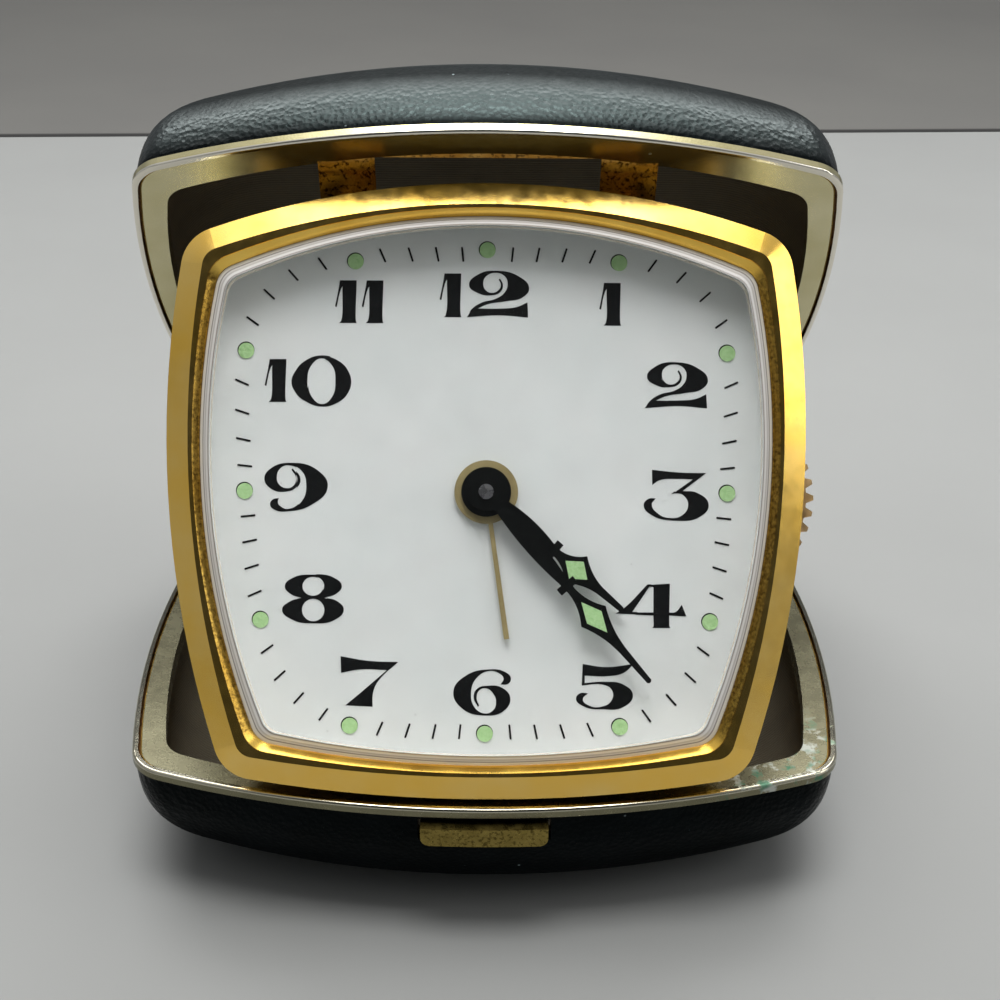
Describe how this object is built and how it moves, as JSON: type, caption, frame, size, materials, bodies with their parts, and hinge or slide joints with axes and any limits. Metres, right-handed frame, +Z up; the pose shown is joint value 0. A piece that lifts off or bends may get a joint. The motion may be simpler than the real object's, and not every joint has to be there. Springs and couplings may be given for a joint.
{
  "type": "folding travel alarm clock",
  "caption": "Folding travel alarm clock: a shield-shaped dial head hinged into a padded two-part case that opens to a tent-shaped stand.",
  "frame": {"origin": "middle of the flat base of the lower case half, on the surface it stands on", "axes": "+Z up, the dial faces -Y, +X is the side of the winding wheel"},
  "size_m": [0.076, 0.0799, 0.0775],
  "materials": {
    "leathercloth": "black grained leathercloth",
    "steel_pan": "pressed steel",
    "lining": "dark olive-brown rayon lining",
    "nickel": "worn nickel plate",
    "gilt": "satin gilt brass",
    "aged_brass": "tarnished brass",
    "acrylic": "clear moulded acrylic",
    "dial_white": "white lacquered dial",
    "spacer_white": "white lacquer",
    "lume": "pale green luminous paint",
    "hand_black": "black lacquer",
    "movement_brass": "brushed brass",
    "arbor_steel": "polished steel",
    "case_steel": "nickelled steel"
  },
  "bodies": {
    "case": {"lower_cover": "leathercloth", "lower_pan": "steel_pan", "lower_lining": "lining", "lower_frame": "nickel", "case_hinge_pin": "arbor_steel"},
    "lid": {"lid_cover": "leathercloth", "lid_pan": "steel_pan", "lid_lining": "lining", "lid_frame": "nickel", "hinge_tab": "nickel"},
    "head": {"bezel": "gilt", "crystal": "acrylic", "back_case": "case_steel", "dial_spacer": "spacer_white", "dial": "dial_white", "hour_dots": "lume", "front_plate": "movement_brass", "back_plate": "movement_brass", "plate_pillars": "movement_brass", "dial_feet": "movement_brass", "case_screws": "arbor_steel", "winding_stud": "arbor_steel", "head_hinge_ears": "case_steel", "head_hinge_pin": "arbor_steel"},
    "latch": {"latch_bar": "aged_brass"},
    "minute": {"minute_hand": "hand_black", "minute_lume": "lume", "centre_cap": "arbor_steel"},
    "hour": {"hour_hand": "hand_black", "hour_lume": "lume"},
    "setting": {"minute_wheel": "movement_brass", "time_knob": "aged_brass"},
    "alarm": {"alarm_hand": "movement_brass"},
    "alarm_setting": {"alarm_setting_arbor": "movement_brass", "alarm_knob": "aged_brass"},
    "centre": {"centre_wheel": "movement_brass"},
    "barrel": {"mainspring_barrel": "movement_brass"},
    "third": {"third_wheel": "movement_brass"},
    "balance": {"balance_wheel": "movement_brass"},
    "winding": {"winding_wheel": "movement_brass"},
    "alarm_button": {"alarm_button": "aged_brass"}
  },
  "joints": [
    {"name": "lid_hinge", "type": "hinge", "parent": "case", "child": "lid", "pos_m": [0, 0.03645, 0.015], "axis": [-1, 0, 0], "range_deg": [0, 60]},
    {"name": "head_hinge", "type": "hinge", "parent": "lid", "child": "head", "pos_m": [0, -0.00105, 0.06007], "axis": [1, 0, 0], "range_deg": [0, 66]},
    {"name": "latch_slide", "type": "slide", "parent": "case", "child": "latch", "axis": [0, 1, 0], "range_m": [0, 0.0006], "stiffness_N_per_m": 300, "springref_m": -0.0005},
    {"name": "minute_spin", "type": "hinge", "parent": "head", "child": "minute", "pos_m": [0, -0.01947, 0.04179], "axis": [0, -0.8616, 0.5075], "continuous": true},
    {"name": "hour_spin", "type": "hinge", "parent": "head", "child": "hour", "pos_m": [0, -0.01947, 0.04179], "axis": [0, -0.8616, 0.5075], "continuous": true},
    {"name": "setting_spin", "type": "hinge", "parent": "head", "child": "setting", "pos_m": [0.00705, -0.02077, 0.03958], "axis": [0, -0.8616, 0.5075], "continuous": true},
    {"name": "alarm_spin", "type": "hinge", "parent": "head", "child": "alarm", "pos_m": [0, -0.01947, 0.04179], "axis": [0, -0.8616, 0.5075], "continuous": true},
    {"name": "alarm_setting_spin", "type": "hinge", "parent": "head", "child": "alarm_setting", "pos_m": [-0.00705, -0.02077, 0.03958], "axis": [0, -0.8616, 0.5075], "continuous": true},
    {"name": "centre_spin", "type": "hinge", "parent": "head", "child": "centre", "pos_m": [0, -0.01947, 0.04179], "axis": [0, -0.8616, 0.5075], "continuous": true},
    {"name": "barrel_spin", "type": "hinge", "parent": "head", "child": "barrel", "pos_m": [-0.00479, -0.0149, 0.04955], "axis": [0, -0.8616, 0.5075], "continuous": true},
    {"name": "third_spin", "type": "hinge", "parent": "head", "child": "third", "pos_m": [-0.00296, -0.02269, 0.03632], "axis": [0, -0.8616, 0.5075], "continuous": true},
    {"name": "balance_swing", "type": "hinge", "parent": "head", "child": "balance", "pos_m": [0.0075, -0.02607, 0.03059], "axis": [0, -0.8616, 0.5075], "range_deg": [-135, 135], "stiffness_Nm_per_rad": 0.00002},
    {"name": "winding_spin", "type": "hinge", "parent": "head", "child": "winding", "pos_m": [0.0241, -0.01962, 0.04153], "axis": [0, -0.8616, 0.5075], "continuous": true},
    {"name": "alarm_button_slide", "type": "slide", "parent": "head", "child": "alarm_button", "axis": [0, -0.8616, 0.5075], "range_m": [0, 0.0012], "stiffness_N_per_m": 120, "springref_m": -0.0008}
  ],
  "couplings": [
    {"joint": "head_hinge", "follows": "lid_hinge", "ratio": 1.1},
    {"joint": "hour_spin", "follows": "minute_spin", "ratio": 0.083333},
    {"joint": "setting_spin", "follows": "minute_spin", "ratio": -0.33333},
    {"joint": "alarm_setting_spin", "follows": "alarm_spin", "ratio": -4},
    {"joint": "barrel_spin", "follows": "centre_spin", "ratio": -0.16667},
    {"joint": "third_spin", "follows": "centre_spin", "ratio": -6}
  ]
}
